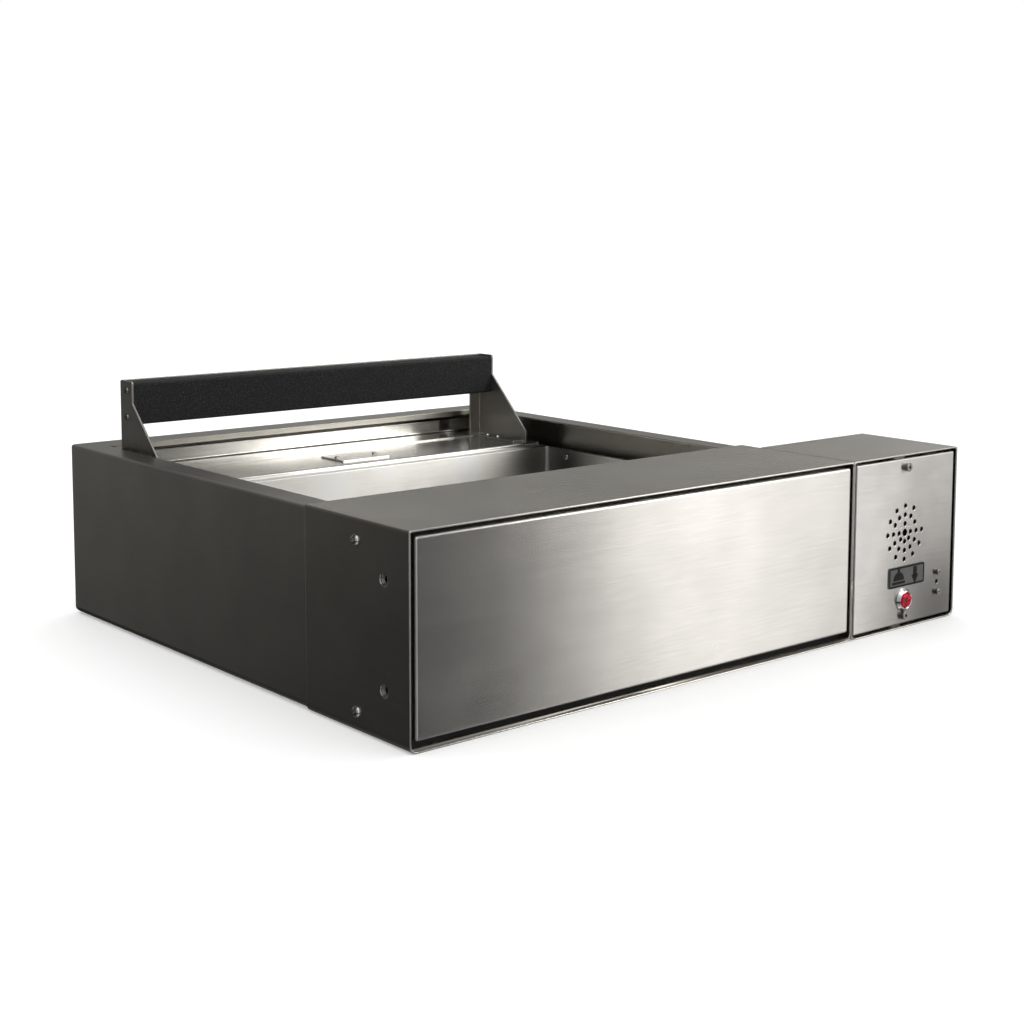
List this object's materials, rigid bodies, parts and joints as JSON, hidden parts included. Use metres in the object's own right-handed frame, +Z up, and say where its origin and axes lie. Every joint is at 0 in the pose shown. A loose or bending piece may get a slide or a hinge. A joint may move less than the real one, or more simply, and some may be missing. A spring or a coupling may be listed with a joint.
{
  "type": "bank teller deposit drawer",
  "caption": "Through-counter stainless deposit drawer on telescopic slides, with a push bar at the indoor side and a side call unit with speaker, push button and microphone.",
  "frame": {"origin": "centre of the bezel's flat underside, at the middle of its width and depth", "axes": "+Z up, -Y towards the person outdoors who faces the drawer front, +Y indoors, +X to that person's right, where the call unit sits"},
  "size_m": [0.7485, 0.6401, 0.262],
  "materials": {
    "back_cover_screws": "bright stainless screw",
    "bezel_nuts": "zinc plated nut",
    "bezel_screws": "bright stainless screw",
    "bezel_shell": "brushed stainless steel sheet",
    "bin": "brushed stainless steel sheet",
    "bin_screws": "bright stainless screw",
    "bracket_left": "brushed stainless steel sheet",
    "bracket_right": "brushed stainless steel sheet",
    "button_bezel": "polished chrome",
    "button_lens": "translucent red plastic",
    "button_nut": "zinc plated nut",
    "button_switch": "black moulded plastic",
    "cable_grommet": "black rubber",
    "cage_inner_left": "steel balls in a pressed cage",
    "cage_inner_right": "steel balls in a pressed cage",
    "cage_outer_left": "steel balls in a pressed cage",
    "cage_outer_right": "steel balls in a pressed cage",
    "carcass": "brushed stainless steel sheet",
    "deck_cover": "brushed stainless steel sheet",
    "deck_rear": "brushed stainless steel sheet",
    "drawer_front": "brushed stainless steel sheet",
    "face_plate": "brushed stainless steel sheet",
    "face_screws": "bright stainless screw",
    "foot_screws": "bright stainless screw",
    "front_screws": "bright stainless screw",
    "handle_bar": "black grained plastic",
    "handle_screws": "bright stainless screw",
    "handle_strip": "brushed stainless steel sheet",
    "housing_shell": "brushed stainless steel sheet",
    "legend_plate": "dark grey engraved laminate",
    "microphone": "small metal capsule",
    "microphone_holder": "black moulded plastic",
    "microphone_screws": "bright stainless screw",
    "nameplate": "satin stainless plate, blank",
    "nameplate_screws": "bright stainless screw",
    "rear_bumpers": "black rubber",
    "seal_frame": "brushed stainless steel sheet",
    "side_unit_nuts": "zinc plated nut",
    "slide_inner_left": "zinc plated rolled steel",
    "slide_inner_right": "zinc plated rolled steel",
    "slide_mid_left": "zinc plated rolled steel",
    "slide_mid_right": "zinc plated rolled steel",
    "slide_outer_left": "zinc plated rolled steel",
    "slide_outer_right": "zinc plated rolled steel",
    "slide_screws": "bright stainless screw",
    "speaker_cone": "treated paper cone",
    "speaker_frame": "black painted pressed steel",
    "speaker_gasket": "black rubber",
    "speaker_magnet": "ferrite magnet and yoke",
    "speaker_nuts": "zinc plated nut",
    "terminal_block": "black moulded plastic",
    "unit_back_cover": "brushed stainless steel sheet",
    "unit_bolts": "bright stainless screw",
    "unit_shell": "brushed stainless steel sheet",
    "weather_seal": "black rubber"
  },
  "bodies": {
    "housing": {"back_cover_screws": "back_cover_screws", "bezel_nuts": "bezel_nuts", "bezel_screws": "bezel_screws", "bezel_shell": "bezel_shell", "button_bezel": "button_bezel", "button_nut": "button_nut", "button_switch": "button_switch", "cable_grommet": "cable_grommet", "face_plate": "face_plate", "face_screws": "face_screws", "housing_shell": "housing_shell", "legend_plate": "legend_plate", "microphone": "microphone", "microphone_holder": "microphone_holder", "microphone_screws": "microphone_screws", "rear_bumpers": "rear_bumpers", "seal_frame": "seal_frame", "side_unit_nuts": "side_unit_nuts", "slide_outer_left": "slide_outer_left", "slide_outer_right": "slide_outer_right", "speaker_cone": "speaker_cone", "speaker_frame": "speaker_frame", "speaker_gasket": "speaker_gasket", "speaker_magnet": "speaker_magnet", "speaker_nuts": "speaker_nuts", "terminal_block": "terminal_block", "unit_back_cover": "unit_back_cover", "unit_bolts": "unit_bolts", "unit_shell": "unit_shell", "weather_seal": "weather_seal"},
    "drawer": {"drawer_front": "drawer_front", "front_screws": "front_screws", "bin": "bin", "carcass": "carcass", "deck_cover": "deck_cover", "deck_rear": "deck_rear", "bracket_left": "bracket_left", "bracket_right": "bracket_right", "handle_bar": "handle_bar", "handle_screws": "handle_screws", "foot_screws": "foot_screws", "nameplate": "nameplate", "nameplate_screws": "nameplate_screws", "slide_inner_left": "slide_inner_left", "slide_inner_right": "slide_inner_right", "slide_screws": "slide_screws", "handle_strip": "handle_strip", "bin_screws": "bin_screws"},
    "slide_mid": {"slide_mid_left": "slide_mid_left", "slide_mid_right": "slide_mid_right"},
    "cages_outer": {"cage_outer_left": "cage_outer_left", "cage_outer_right": "cage_outer_right"},
    "cages_inner": {"cage_inner_left": "cage_inner_left", "cage_inner_right": "cage_inner_right"},
    "call_button": {"button_lens": "button_lens"}
  },
  "joints": [
    {"name": "drawer_slide", "type": "slide", "parent": "housing", "child": "drawer", "axis": [0, -1, 0], "range_m": [0, 0.32]},
    {"name": "slide_mid_run", "type": "slide", "parent": "housing", "child": "slide_mid", "axis": [0, -1, 0], "range_m": [0, 0.16]},
    {"name": "cages_outer_run", "type": "slide", "parent": "housing", "child": "cages_outer", "axis": [0, -1, 0], "range_m": [0, 0.08]},
    {"name": "cages_inner_run", "type": "slide", "parent": "housing", "child": "cages_inner", "axis": [0, -1, 0], "range_m": [0, 0.24]},
    {"name": "call_button_press", "type": "slide", "parent": "housing", "child": "call_button", "axis": [0, 1, 0], "range_m": [0, 0.0025], "stiffness_N_per_m": 800, "springref_m": -0.001}
  ],
  "couplings": [
    {"joint": "slide_mid_run", "follows": "drawer_slide", "ratio": 0.5},
    {"joint": "cages_outer_run", "follows": "drawer_slide", "ratio": 0.25},
    {"joint": "cages_inner_run", "follows": "drawer_slide", "ratio": 0.75}
  ]
}
